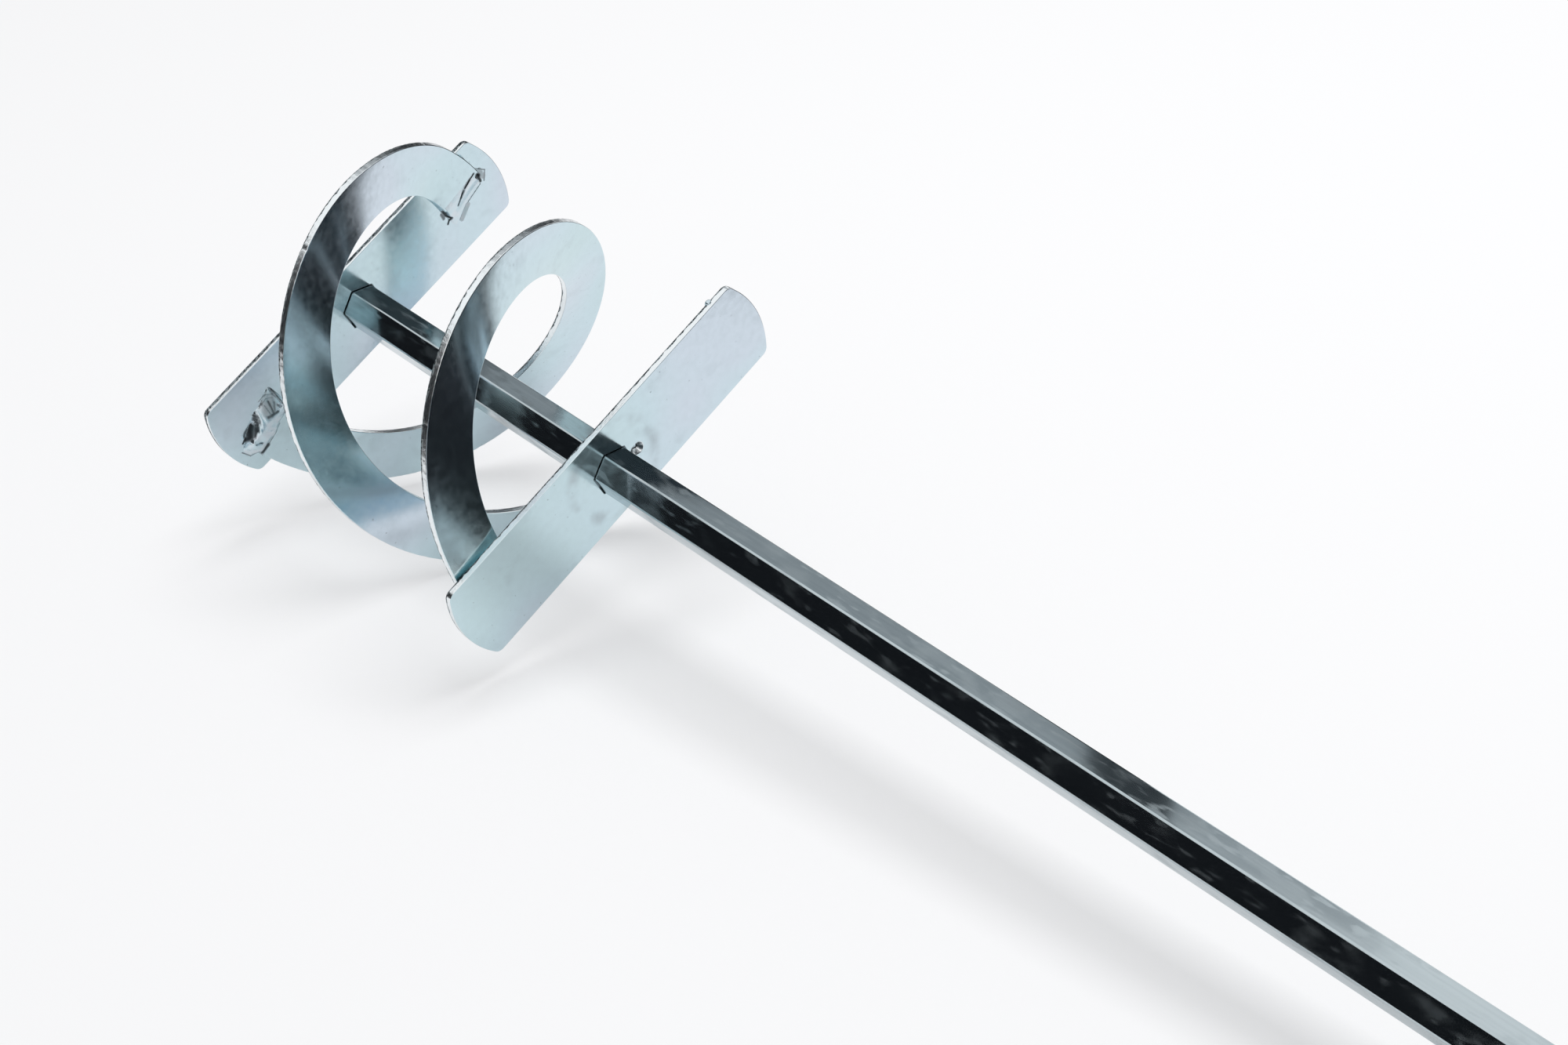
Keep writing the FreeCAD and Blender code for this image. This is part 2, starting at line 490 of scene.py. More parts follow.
@dataclass(frozen=True)
class DrawnHexSteel(Finish):
    """Bright zinc plating on cold drawn hexagonal bar: a dark mirror with duller smudged patches.

    The real drawing lines lie about a tenth of a millimetre apart, which is too fine to show, so they are
    drawn nearly a millimetre apart.
    """

    def material(self) -> bpy.types.Material:
        """Builds the material.

        Returns:
            The material.
        """
        material, tree, where = self.tree()
        lines = self.pattern(tree, where, size=0.9, detail=0.0, low=0.3, high=0.7, drawn=60.0)
        patches = self.pattern(tree, where, size=5.5, detail=3.0, low=0.5, high=0.68, drawn=2.2)
        smears = self.pattern(tree, where, size=1.8, detail=1.0, low=0.58, high=0.72, drawn=3.5)
        colour = self.tinted(tree, "#BFCACE", patches, "#98A3A8", share=0.35)
        colour = self.tinted(tree, colour, lines, "#7F8A8F", share=0.12)
        worn = add_node(tree, "Math", {"operation": "MAXIMUM"}, {0: patches, 1: smears}).outputs[0]
        waves = self.pattern(tree, where, size=5.0, detail=1.0, low=0.2, high=0.8, drawn=6.0)
        self.close(tree, colour, worn, rough=(0.10, 0.27),
                   normal=self.dents(tree, [(waves, 0.012), (lines, 0.0004)]))
        return material


@dataclass(frozen=True)
class WeldDeposit(Finish):
    """Gas shielded arc weld under zinc plating: satin metal, with near-black paint for painted shade in its
    cracks, notches and undercuts, and a few stains.
    """

    def material(self) -> bpy.types.Material:
        """Builds the material.

        Returns:
            The material.
        """
        material, tree, where = self.tree()
        marks = add_node(tree, "Attribute", {"attribute_name": SURFACE_MAP})
        shade_and_stain = add_node(tree, "SeparateXYZ", inputs={0: marks.outputs["Vector"]}).outputs["Z"]
        cloud = self.pattern(tree, where, size=3.0, detail=2.0, low=0.35, high=0.65)
        colour = self.tinted(tree, "#C9DCE3", cloud, "#D6DFE5")
        # Painted shade: the marks' share darkens the weld to near black in its cracks, notches, undercuts and
        # ripples, and also lays a few stains.
        colour = self.tinted(tree, colour, shade_and_stain, "#141B1E")
        grit = self.pattern(tree, where, size=0.7, detail=2.0, low=0.3, high=0.7)
        self.close(tree, colour, shade_and_stain, rough=(0.24, 0.6),
                   normal=self.dents(tree, [(grit, 0.012)]))
        return material


# ------------------------------------------------------------------------------------------- sub-assemblies


@dataclass
class SubAssembly:
    """Pieces that are made and finished together, in millimetres about the rod."""

    place: Matrix
    materials: dict[str, bpy.types.Material]

    def store(self, piece: bpy.types.Object, values: list[float]) -> None:
        """Stores the surface map, three values for each vertex of a piece."""
        attribute = piece.data.attributes.new(SURFACE_MAP, "FLOAT_VECTOR", "POINT")
        attribute.data.foreach_set("vector", values)

    def map_strip(self, piece: bpy.types.Object,
                  rule: Callable[[Vector], tuple[float, float, float]]) -> None:
        """Stores along, across and through, in metres, at each vertex of a piece.

        Args:
            piece: Piece whose mesh gets the map.
            rule: Gives the three in millimetres for a point.
        """
        self.store(piece, [part * MM for vert in piece.data.vertices for part in rule(vert.co)])

    def dress(self, piece: bpy.types.Object, names: list[str], edge: Test | None = None) -> None:
        """Gives a piece its materials.

        Args:
            piece: Piece to dress.
            names: Short names of one or two materials.
            edge: Tells by a face's middle and normal whether it gets the second one.
        """
        piece.data.materials.clear()
        for name in names:
            piece.data.materials.append(self.materials[name])
        for face in piece.data.polygons:
            face.material_index = int(bool(edge and edge(face.center, face.normal)))

    def lay_down(self, piece: bpy.types.Object, name: str, slot: Slot, node: str) -> None:
        """Smooths a finished piece, lays it in the frame and puts it in the place of its CAD node.

        Args:
            piece: Finished piece, in millimetres about the rod.
            name: Name of the piece.
            slot: Material slot of the record; not used.
            node: CAD node that it stands for.
        """
        edit(piece, Element.FACE, None, lambda: bpy.ops.mesh.normals_make_consistent(inside=False))
        bpy.ops.object.shade_smooth_by_angle(angle=SMOOTH_ANGLE)
        apply_modifier(piece, "WEIGHTED_NORMAL", weight=60, keep_sharp=True)
        piece.data.transform(self.place)
        piece.name = piece.data.name = name
        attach(piece, BODY)
        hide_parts(node)
        log.info("%s: %d faces, for %s", name, len(piece.data.polygons), node)


@dataclass
class Rod(SubAssembly):
    """Solid hexagonal rod that runs through the whole head, with turned chamfers at both ends."""

    across_flats: float = 12.0
    start: float = -6.0
    length: float = 600.0
    corner_round: float = 0.45
    corner_steps: int = 4
    end_chamfer: float = 1.2
    turning_steps: int = 144

    def build(self) -> None:
        """Draws the hexagon, rounds its corners and trims both ends as a lathe does."""
        corner_radius = self.across_flats / math.sqrt(3)
        middle = (0, 0, self.start + self.length / 2)
        rod = start_object("cylinder", vertices=6, radius=corner_radius, depth=self.length, location=middle)
        edit(rod, Element.EDGE, lambda _, way: abs(way.z) > 0.9,
             lambda: bpy.ops.mesh.bevel(offset=self.corner_round, segments=self.corner_steps, affect="EDGES"))
        envelope = start_object("cylinder", vertices=self.turning_steps, radius=corner_radius,
                                depth=self.length, location=middle)
        edit(envelope, Element.EDGE, lambda _, way: abs(way.z) < 0.1,
             lambda: bpy.ops.mesh.bevel(offset=self.end_chamfer, segments=1, affect="EDGES"))
        combine(rod, envelope, "INTERSECT")
        edit(rod, Element.FACE, None, lambda: bpy.ops.mesh.remove_doubles(threshold=MERGE))
        self.dress(rod, ["rod"])
        self.lay_down(rod, "hex_rod_drawn_bar", Slot.ROD, "hex_rod")


@dataclass
class Crossbars(SubAssembly):
    """Two flat bars with arched tips, sheared to shape, with a hexagonal hole for the rod."""

    half_length: float = 60.0
    half_width: float = 15.0
    thickness: float = 2.0
    tip_radius: float = 32.0
    corner_radius: float = 2.5
    hole_across_flats: float = 12.6
    edge_round: float = 0.22
    front_bottom: float = 115.0
    # The dent's place on the front bar, its radius at the bar's face and at its floor, its depth, and how far
    # its tail is pulled out.
    dent: tuple[float, float] = (9.0, -1.3)
    dent_radius: float = 1.95
    dent_floor: float = 0.55
    dent_depth: float = 1.85
    dent_tail: float = 0.25
    # How finely the tips, the long sides and the corners are drawn.
    arc_steps: int = 40
    side_steps: int = 24
    corner_steps: int = 8

    def quarter(self) -> list[Vector]:
        """Draws the outline of one quarter of a bar.

        Returns:
            Its points, from the middle of a long side to the tip.
        """
        tip_centre = self.half_length - self.tip_radius
        corner_y = self.half_width - self.corner_radius
        reach = math.sqrt((self.tip_radius - self.corner_radius) ** 2 - corner_y ** 2)
        meet = math.degrees(math.atan2(corner_y, reach))
        corner = Vector((tip_centre + reach, corner_y, 0))
        side = [Vector((corner.x * step / self.side_steps, self.half_width, 0))
                for step in range(self.side_steps)]
        bend = [corner + polar(self.corner_radius, 90 + (meet - 90) * step / self.corner_steps, 0)
                for step in range(self.corner_steps + 1)]
        arc = [Vector((tip_centre, 0, 0)) + polar(self.tip_radius, meet * (1 - step / self.arc_steps), 0)
               for step in range(1, self.arc_steps + 1)]
        return side + bend + arc

    def outline(self) -> list[Vector]:
        """Mirrors the quarter twice.

        Returns:
            Points of the whole outline, round from the middle of a long side.
        """
        quarter = self.quarter()
        right = [Vector((point.x, -point.y, 0)) for point in quarter[-2::-1]]
        half = quarter + right
        left = [Vector((-point.x, point.y, 0)) for point in half[-2:0:-1]]
        return half + left

    def plate(self, bottom: float) -> bpy.types.Object:
        """Solid bar with its hole.

        Args:
            bottom: Height of its lower face.

        Returns:
            The bar.
        """
        points = self.outline()
        bar = start_object("circle", vertices=len(points), radius=1, fill_type="NGON",
                           location=(0, 0, bottom))
        for vert, point in zip(bar.data.vertices, points):
            vert.co = point + Vector((0, 0, bottom))
        lift = {"value": (0, 0, self.thickness)}
        edit(bar, Element.FACE, None,
             lambda: bpy.ops.mesh.extrude_region_move(TRANSFORM_OT_translate=lift),
             lambda: bpy.ops.mesh.select_all(action="SELECT"),
             lambda: bpy.ops.mesh.normals_make_consistent(inside=False))
        hole = start_object("cylinder", vertices=6, radius=self.hole_across_flats / math.sqrt(3),
                            depth=4 * self.thickness, location=(0, 0, bottom + self.thickness / 2))
        combine(bar, hole, "DIFFERENCE")
        return bar

    def press_dent(self, bar: bpy.types.Object) -> None:
        """Cuts a small drop-shaped dent beside the rod's hole, where the punch slipped.

        Args:
            bar: Front bar.
        """
        top = self.front_bottom + self.thickness
        punch = start_object("cone", vertices=48, radius1=self.dent_floor,
                             radius2=2 * self.dent_radius - self.dent_floor,
                             depth=2 * self.dent_depth, location=(*self.dent, top))
        for vert in punch.data.vertices:
            tail = max(self.dent[0] - vert.co.x, 0)
            vert.co.x -= self.dent_tail * tail
            vert.co.y += self.dent_tail * tail
        combine(bar, punch, "DIFFERENCE")

    def on_edge(self, centre: Vector, normal: Vector) -> bool:
        """Tells whether a face was left by the shear or a punch.

        Args:
            centre: Middle of the face.
            normal: Its normal.

        Returns:
            True on the bar's edges, in its hole and on the dent's wall.
        """
        depth = self.front_bottom + self.thickness - centre.z
        in_dent = 0.02 < depth < 0.95 * self.dent_depth
        near = (centre.xy - Vector(self.dent)).length < 1.5 * self.dent_radius
        return abs(normal.z) < 0.6 or (in_dent and near)

    def build(self) -> None:
        """Draws both bars."""
        plan = (("end_crossbar", -self.thickness, ["strip", "end bar edge"]),
                ("front_crossbar", self.front_bottom, ["front bar", "bar edge"]))
        for name, bottom, names in plan:
            bar = self.plate(bottom)
            if bottom > 0:
                self.press_dent(bar)
            apply_modifier(bar, "BEVEL", width=self.edge_round, segments=3, limit_method="ANGLE",
                           angle_limit=SMOOTH_ANGLE)
            edit(bar, Element.VERT, None,
                 lambda: bpy.ops.mesh.remove_doubles(threshold=MERGE),
                 lambda: bpy.ops.mesh.dissolve_degenerate(threshold=MERGE))
            self.map_strip(bar, lambda point, low=bottom: (point.x, point.y, point.z - low))
            self.dress(bar, names, self.on_edge)
            self.lay_down(bar, f"{name}_sheared_strip", Slot.STRIP, name)


@dataclass
class Flights(SubAssembly):
    """Two right-handed helical flights, punched as flat rings and drawn out into one turn."""

    inner_radius: float = 37.5
    outer_radius: float = 53.5
    thickness: float = 2.5
    bend_width: float = 12.0
    edge_round: float = 0.3
    steps: int = 590
    cuts: int = 5
    burr: float = 0.16
    rim: float = 0.5
    ends: dict[str, tuple[float, float]] = field(default_factory=lambda: {
        "a": (6.0, 357.0), "b": (3.0, 357.0)})
    bends: dict[str, tuple[tuple[float, float], ...]] = field(default_factory=lambda: {
        "a": ((22.0, 0.0), (320.0, 94.8), (351.0, 112.5)), "b": ((22.0, 0.0), (346.5, 112.5))})
    tear_seeds: dict[str, float] = field(default_factory=lambda: {"a": 3.0, "b": 17.0})

    def ramp(self, past: float) -> float:
        """Angle past a bend, growing smoothly from nothing over the bend's width."""
        half = self.bend_width / 2
        return max(past, 0.0) if abs(past) >= half else (past + half) ** 2 / (4 * half)

    def rise_at(self, name: str, angle: float) -> float:
        """Height of a flight's lower face, a steady rise with every bend rounded off.

        Args:
            name: Which flight.
            angle: Angle of turn, in degrees.

        Returns:
            The height in millimetres.
        """
        bends = self.bends[name]
        runs = [(high - low) / (last - first) for (first, low), (last, high) in zip(bends, bends[1:])]
        slopes = [0.0, *runs, 0.0]
        return sum((after - before) * self.ramp(angle - corner)
                   for (corner, _), before, after in zip(bends, slopes, slopes[1:]))

    def ring(self, first: float, last: float) -> bpy.types.Object:
        """Flat ring with rounded edges, spun from the strip's section.

        Args:
            first: Angle of its first end, in degrees.
            last: Angle of its last end.

        Returns:
            The ring, closed at both ends.
        """
        middle = polar((self.inner_radius + self.outer_radius) / 2, first, self.thickness / 2)
        section = start_object("plane", size=1, location=middle,
                               rotation=(math.pi / 2, 0, math.radians(first)),
                               scale=(self.outer_radius - self.inner_radius, self.thickness, 1))
        spin = {"steps": self.steps, "angle": math.radians(last - first), "center": (0, 0, 0),
                "axis": (0, 0, -1)}
        edit(section, Element.VERT, None,
             lambda: bpy.ops.mesh.bevel(offset=self.edge_round, segments=2, affect="VERTICES"),
             lambda: bpy.ops.mesh.select_mode(type="EDGE"),
             lambda: bpy.ops.mesh.select_all(action="SELECT"),
             lambda: bpy.ops.mesh.delete(type="ONLY_FACE"))
        edit(section, Element.EDGE, lambda _, way: abs(way.z) < 0.01,
             lambda: bpy.ops.mesh.subdivide(number_cuts=self.cuts),
             lambda: bpy.ops.mesh.select_all(action="SELECT"),
             lambda: bpy.ops.mesh.spin(**spin))
        for end in (first, last):
            edit(section, Element.VERT, lambda point, _: abs(self.angle_of(point) - end) < 0.1,
                 bpy.ops.mesh.edge_face_add)
        return section

    def angle_of(self, point: Vector) -> float:
        """Angle of a point about the rod, from 0 to 360 degrees."""
        return math.degrees(math.atan2(point.y, point.x)) % 360

    def draw_out(self, ring: bpy.types.Object, name: str) -> None:
        """Lifts the ring into its helix, with a torn edge where the punch broke through.

        Args:
            ring: Flat ring.
            name: Which flight it becomes.
        """
        seed = self.tear_seeds[name]
        for vert in ring.data.vertices:
            point = vert.co
            angle = self.angle_of(point)
            radius = point.xy.length
            rim = ease((radius - self.outer_radius + self.rim) / self.rim)
            # The rim is torn finely all along, and chipped more deeply in a few places.
            tear = noise.noise(Vector((angle * 0.9, seed, point.z * 0.8)))
            chip = max(noise.noise(Vector((angle * 0.35, seed + 9, 0))) - 0.25, 0)
            out = rim * self.burr * (0.5 * tear - 1.4 * chip)
            vert.co.x += point.x / radius * out
            vert.co.y += point.y / radius * out
            vert.co.z += self.rise_at(name, angle)

    def build(self) -> None:
        """Draws both flights, the second half a turn round from the first."""
        for name, (first, last) in self.ends.items():
            flight = self.ring(first, last)
            middle = (self.inner_radius + self.outer_radius) / 2
            self.map_strip(flight, lambda point: (math.radians(self.angle_of(point)) * middle,
                                                  point.xy.length, point.z))
            self.draw_out(flight, name)
            self.dress(flight, ["flight", "flight edge"], self.on_edge)
            if name == "b":
                flight.data.transform(Matrix.Rotation(math.pi, 4, "Z"))
            self.lay_down(flight, f"flight_{name}_drawn_ring", Slot.FLIGHT, f"flight_{name}")

    def on_edge(self, centre: Vector, normal: Vector) -> bool:
        """Tells whether a face is on the inner or outer edge."""
        return abs(normal.xy.dot(centre.xy.normalized())) > 0.75


@dataclass(frozen=True)
class Stroke:
    """Straight groove or ridge on a bead, given along a flight's end and off over the bar, in millimetres,
    with dark paint along it, which is mostly painted shade in cracks, notches and undercuts and in a few
    places a stain.
    """

    start: tuple[float, float]
    end: tuple[float, float]
    width: float
    depth: float
    # Share of dark paint: painted shade in cracks, notches and undercuts, and in a few places a stain.
    shade_and_stain: float = 0.0

    def weight(self, along: float, off: float) -> float:
        """How much of the stroke lies at a point.

        Args:
            along: Distance along the flight's end, in millimetres.
            off: Distance from the flight's end, over the bar.

        Returns:
            A share from 0 to 1.
        """
        way = Vector(self.end) - Vector(self.start)
        point = Vector((along, off)) - Vector(self.start)
        part = min(max(point.dot(way) / way.length_squared, 0), 1)
        return math.exp(-((point - part * way).length / self.width) ** 4)


@dataclass
class FlightWelds(SubAssembly):
    """Beads that hold the flights' ends to the crossbars, each worked up from a flat grid."""

    inner_radius: float = 37.5
    flight_width: float = 16.0
    flight_thickness: float = 2.5
    span: float = 115.0
    # The beads' root in the bar, and their grid: its squares, and its lowest and highest corner.
    root: float = -0.25
    grid: tuple[int, int] = (150, 110)
    low: tuple[float, float] = (-3.4, -7.6)
    high: tuple[float, float] = (20.6, 10.4)
    # Where the ball of spatter sits, about the rod, and its radius.
    spatter: tuple[float, float, float] = (49.6, 14.5, 115.1)
    spatter_radius: float = 1.05
    # How far the pool runs out over the bar at its waist, where along the flight's end its waist is, and
    # how fast it widens from there.
    pool_reach: float = 6.3
    pool_waist: float = 14.5
    pool_flare: float = 0.02
    # The stringer's height over the bar, the pitch and height of its ripples, and the height of its lumps.
    stringer_top: float = 3.3
    ripple_pitch: float = 1.9
    ripple_height: float = 0.03
    lump_height: float = 0.35
    # Marks on the pool and on the stringers; each one's last number paints shade into cracks, notches,
    # undercuts and ripples, and in a few places a stain.
    pool_marks: tuple[Stroke, ...] = (
        Stroke((14.5, -1.0), (12.2, -0.7), 0.26, 0.05, 1.0),
        Stroke((12.2, -0.7), (9.5, -0.1), 0.4, 0.05, 1.0),
        Stroke((8.7, 0.2), (6.7, 1.5), 0.46, 0.4, 1.0),
        Stroke((6.7, 1.5), (4.7, 3.0), 0.36, 0.4, 1.0),
        Stroke((15.2, 0.8), (15.7, 3.2), 0.95, 0.6, 0.97),
        Stroke((15.7, 3.2), (15.1, 5.3), 0.5, 0.3, 0.85),
        Stroke((17.0, 2.0), (16.7, 4.9), 0.9, -0.25, 0.3),
        Stroke((16.2, 0.1), (18.5, 3.7), 0.24, -0.2, 0.5),
        Stroke((18.5, 3.7), (16.1, 6.3), 0.28, -0.1, 0.55),
        Stroke((14.5, 6.0), (7.8, 6.7), 0.2, 0.05, 0.42),
        Stroke((7.2, 7.4), (2.8, 9.2), 0.9, 0.0, 0.28),
        Stroke((-0.9, 1.6), (-1.2, 3.2), 0.6, 0.0, 0.6),
        Stroke((0.0, 0.4), (-0.2, 2.9), 0.45, 0.3, 0.85),
        Stroke((-0.2, 2.9), (0.5, 4.8), 0.4, 0.3, 0.95),
        Stroke((0.5, 4.8), (-1.5, 6.0), 0.36, 0.2, 0.95),
    )
    stringer_marks: tuple[Stroke, ...] = (
        Stroke((1.9, 5.2), (5.3, 2.6), 1.9, 0.05, 0.42),
        Stroke((2.9, 4.6), (4.4, 1.8), 0.3, 0.12, 0.78),
        Stroke((4.6, 4.6), (5.2, 2.4), 0.22, 0.08, 0.62),
        Stroke((1.9, 3.4), (4.3, 1.5), 0.26, 0.08, 0.65),
        Stroke((1.2, 4.6), (2.7, 5.6), 0.2, 0.05, 0.6),
        Stroke((2.7, 5.6), (5.2, 5.2), 0.2, 0.05, 0.58),
        Stroke((0.5, 5.4), (2.2, 6.6), 0.18, 0.03, 0.62),
        Stroke((2.2, 6.6), (4.9, 6.4), 0.2, 0.03, 0.6),
        Stroke((3.4, 1.0), (6.4, 1.9), 0.5, 0.1, 0.8),
        Stroke((8.8, 4.2), (8.9, 4.6), 0.45, 0.1, 0.8),
        Stroke((11.6, 2.8), (14.2, 1.3), 0.6, 0.0, 0.92),
        Stroke((14.2, 1.3), (17.1, 0.3), 0.4, 0.0, 0.92),
        Stroke((17.2, -1.0), (14.2, -2.8), 1.0, -0.25),
        Stroke((12.6, -5.2), (15.2, -5.4), 0.8, 0.1, 0.9),
        Stroke((19.3, -1.9), (18.3, -5.2), 0.24, 0.0, 0.6),
        Stroke((18.3, -5.2), (16.0, -6.4), 0.22, 0.0, 0.55),
        Stroke((5.5, -3.2), (9.7, -4.7), 0.2, 0.0, 0.45),
        Stroke((9.7, -4.7), (13.0, -5.4), 0.24, 0.0, 0.6),
    )

    def run_out(self, along: float, past: tuple[float, float], fade: tuple[float, float]) -> float:
        """Fades a bead out at both ends.

        Args:
            along: Distance along the flight's end from its inner edge, in millimetres.
            past: How far past the flight's inner and outer edges the bead ends.
            fade: Over what length it fades at each end.

        Returns:
            1 along the bead's middle, falling to 0 at its ends.
        """
        return ease((along + past[0]) / fade[0]) * ease((self.flight_width + past[1] - along) / fade[1])

    def pool(self, along: float, off: float) -> float:
        """Height over the bar's face of a smooth pool that runs out flat over the bar.

        Args:
            along: Distance along the flight's end from its inner edge, in millimetres.
            off: Distance from the flight's end, over the bar.

        Returns:
            The height in millimetres.
        """
        reach = self.pool_reach + self.pool_flare * (self.pool_waist - along) ** 2
        fall = 1 - ease(off / reach)
        ends = self.run_out(along, past=(0.9, 0.4), fade=(1.6, 1.3))
        # Over the flight it is a thin skin that soon dips under the flight's face.
        if off < 0:
            return self.flight_thickness + 0.02 - 0.06 * ease(-off / 3) - 3 * (1 - ends)
        # Over the bar it falls from the flight's face to just under the bar's.
        return ((self.flight_thickness + 0.12) * fall ** 1.1 - 0.1) * ends - 0.3 * (1 - ends)

    def stringer(self, along: float, off: float, seed: float) -> float:
        """Height over the bar's face of a lumpy bead with crescent ripples, laid over the flight's end.

        Args:
            along: Distance along the flight's end from its inner edge, in millimetres.
            off: Distance from the flight's end, over the bar.
            seed: Shifts the pattern of the lumps.

        Returns:
            The height in millimetres.
        """
        lump = noise.noise(Vector((along * 0.3, off * 0.3, seed)))
        # The bead slants from over the bar, at the flight's inner edge, to over the flight, and narrows.
        middle = 3.2 - 0.36 * along
        wide = 4.5 - 2.4 * ease((along - 9) / 11) + 0.7 * noise.noise(Vector((along * 0.3, seed, 5.0)))
        across = min(abs(off - middle) / wide, 1)
        ends = self.run_out(along, past=(1.2, 3.4), fade=(2.0, 2.4))
        dome = (1 - across ** 3) ** 0.6 * ends
        # Beside the bead the grid lies just under the bar's face, or under the flight's.
        over = ease((0.5 - off) / 0.8) * self.run_out(along, past=(-0.1, -0.1), fade=(0.5, 0.5))
        base = -0.3 + 2.6 * over
        top = self.stringer_top - 2.1 * max(ease(off / 6), ease((along - 15) / 3))
        crest = math.sin(math.tau * (along + 0.16 * (off - middle) ** 2) / self.ripple_pitch + 3 * lump)
        return base + (top + self.lump_height * lump - base) * dome + self.ripple_height * crest * dome

    def bead(self, kind: Bead, seed: float) -> bpy.types.Object:
        """Works a bead up from a grid over the bar's face, with its flight's end along X.

        Args:
            kind: How it was welded.
            seed: Shifts the pattern of its lumps.

        Returns:
            The closed bead.
        """
        size = [high - low for low, high in zip(self.low, self.high)]
        middle = [(low + high) / 2 for low, high in zip(self.low, self.high)]
        bead = start_object("grid", x_subdivisions=self.grid[0], y_subdivisions=self.grid[1], size=1,
                            location=(*middle, self.root), scale=(*size, 1))
        edit(bead, Element.FACE, None,
             lambda: bpy.ops.mesh.extrude_region_move(TRANSFORM_OT_translate={"value": (0, 0, 0.1)}),
             lambda: bpy.ops.mesh.select_all(action="SELECT"),
             lambda: bpy.ops.mesh.normals_make_consistent(inside=False))
        marks = self.pool_marks if kind is Bead.POOL else self.stringer_marks
        shade_and_stain = []
        for vert in bead.data.vertices:
            dark = 0.0
            if vert.co.z > self.root + 0.05:
                along, off = vert.co.xy
                height = self.pool(along, off) if kind is Bead.POOL else self.stringer(along, off, seed)
                for mark in marks:
                    weight = mark.weight(along, off)
                    height -= mark.depth * weight
                    dark = max(dark, mark.shade_and_stain * weight)
                # Where shade is painted, the bead stays just above the bar's or the flight's face, so that
                # the paint shows.
                if dark > 0.1:
                    under = self.flight_thickness if off < 0 < along < self.flight_width else 0.0
                    height = max(height, under + 0.05)
                vert.co.z = max(height, self.root + 0.02)
            shade_and_stain += (0.0, 0.0, dark)
        self.store(bead, shade_and_stain)
        return bead

    def add_spatter(self, bead: bpy.types.Object) -> None:
        """Joins a ball of weld spatter, stuck to the front bar's edge, to a bead.

        Args:
            bead: Bead in its place about the rod.
        """
        ball = start_object("uv_sphere", segments=24, ring_count=14, radius=self.spatter_radius,
                            location=self.spatter)
        for vert in ball.data.vertices:
            vert.co.x += 0.25 * noise.noise(vert.co * 0.9)
        activate(bead)
        ball.select_set(True)
        bpy.ops.object.join()

    def build(self) -> None:
        """Draws the four beads: two on the end crossbar and, turned over, two on the front one."""
        over = Matrix.Translation((0, 0, self.span)) @ Matrix.Rotation(math.pi, 4, "X")
        half = Matrix.Rotation(math.pi, 4, "Z")
        whole = Matrix.Identity(4)
        plan = (("flight_a_end_weld", Bead.POOL, whole, 6.0, 1.0),
                ("flight_b_end_weld", Bead.STRINGER, half, 3.0, 2.0),
                ("flight_a_front_weld", Bead.STRINGER, over, 3.0, 7.0),
                ("flight_b_front_weld", Bead.STRINGER, half @ over, 3.0, 11.0))
        flip = Matrix.Diagonal((1, -1, 1, 1))
        for node, kind, where, angle, seed in plan:
            bead = self.bead(kind, seed)
            turn = Matrix.Rotation(math.radians(angle), 4, "Z")
            bead.data.transform(where @ turn @ Matrix.Translation((self.inner_radius, 0, 0)) @ flip)
            if node == "flight_a_front_weld":
                self.add_spatter(bead)
            self.dress(bead, ["weld"])
            self.lay_down(bead, f"{node}_bead", Slot.WELD, node)


@dataclass
class RodWelds(SubAssembly):
    """Ring beads round the rod, one under each crossbar."""

    ring_radius: float = 7.3
    bead_radius: float = 3.0
    ripples: int = 34
    ripple_slant: float = 0.5
    # Heights of the ripples and lumps as shares of the bead's own radius, and its reach into the bar.
    ripple_share: float = 0.035
    lump_share: float = 0.16
    root: float = 0.3

    def ring(self, face: float, seed: float) -> bpy.types.Object:
        """Ring bead against a face that looks down the rod.

        Args:
            face: Height of the crossbar's face.
            seed: Shifts the pattern of its lumps.

        Returns:
            The bead.
        """
        ring = start_object("torus", major_radius=self.ring_radius, minor_radius=self.bead_radius,
                            major_segments=288, minor_segments=40, location=(0, 0, face))
        for vert in ring.data.vertices:
            angle = math.atan2(vert.co.y, vert.co.x)
            middle = polar(self.ring_radius, math.degrees(angle), face)
            out = vert.co - middle
            slant = self.ripple_slant * out.xy.length * (1 if vert.co.xy.length > self.ring_radius else -1)
            crest = math.sin(self.ripples * angle + slant)
            lump = noise.noise(Vector((math.cos(angle) * 1.7, math.sin(angle) * 1.7, seed)))
            vert.co = middle + out * (1 + self.ripple_share * crest + self.lump_share * lump)
            vert.co.z = min(vert.co.z, face + self.root)
        return ring

    def build(self) -> None:
        """Draws both ring beads."""
        for node, face, seed in (("end_rod_weld", -2.0, 4.0), ("front_rod_weld", 115.0, 8.0)):
            ring = self.ring(face, seed)
            self.store(ring, [0.0] * 3 * len(ring.data.vertices))
            self.dress(ring, ["weld"])
            self.lay_down(ring, f"{node}_bead", Slot.WELD, node)


# --------------------------------------------------------------------------------------------------- studio


@dataclass(frozen=True)
class Card:
    """Curved card round the head that only mirrors see, and only from inside.

    It reaches from one angle to another, in degrees from +X towards +Y, and between two heights in metres.
    """

    name: str
    colour: str
    radius: float
    sweep: tuple[float, float]
    heights: tuple[float, float]

    def behind(self, point: Vector) -> bool:
        """Tells whether a point, measured from the card's middle, lies outside its sweep."""
        return not self.sweep[0] <= math.degrees(math.atan2(point.y, point.x)) <= self.sweep[1]


